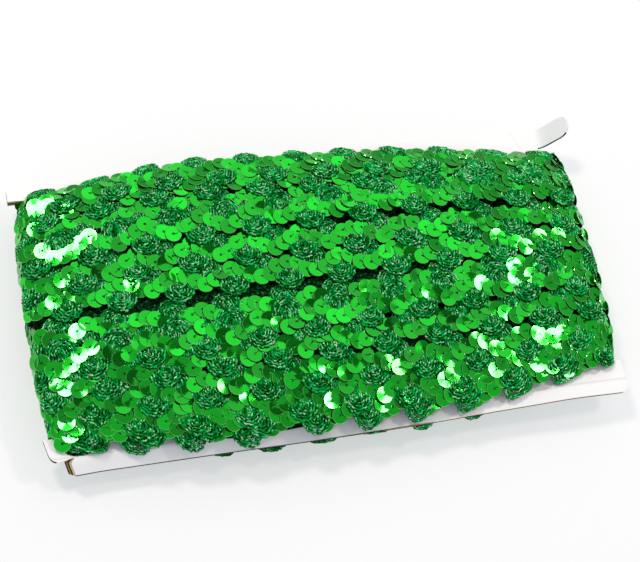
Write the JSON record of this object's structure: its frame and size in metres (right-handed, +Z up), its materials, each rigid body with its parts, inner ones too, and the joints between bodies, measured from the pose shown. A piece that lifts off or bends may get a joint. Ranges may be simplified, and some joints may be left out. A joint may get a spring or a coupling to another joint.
{
  "type": "sequin trim wound on a notched card",
  "caption": "Scalloped trim of overlapping round sequins and metallic braid, wound flat round a white notched card.",
  "frame": {"origin": "bottom centre of the whole pack, on the surface it lies on", "axes": "+X along the card and the turns of trim, +Y to the far long edge, +Z up through the pack's thickness"},
  "size_m": [0.2046, 0.1126, 0.0234],
  "materials": {
    "sequin_trim": "glossy metallic green sequins on metallic braid",
    "card_board": "matt white faced card with brown cut edges"
  },
  "bodies": {
    "root": {"wound_trim": "sequin_trim", "card": "card_board"}
  },
  "joints": []
}
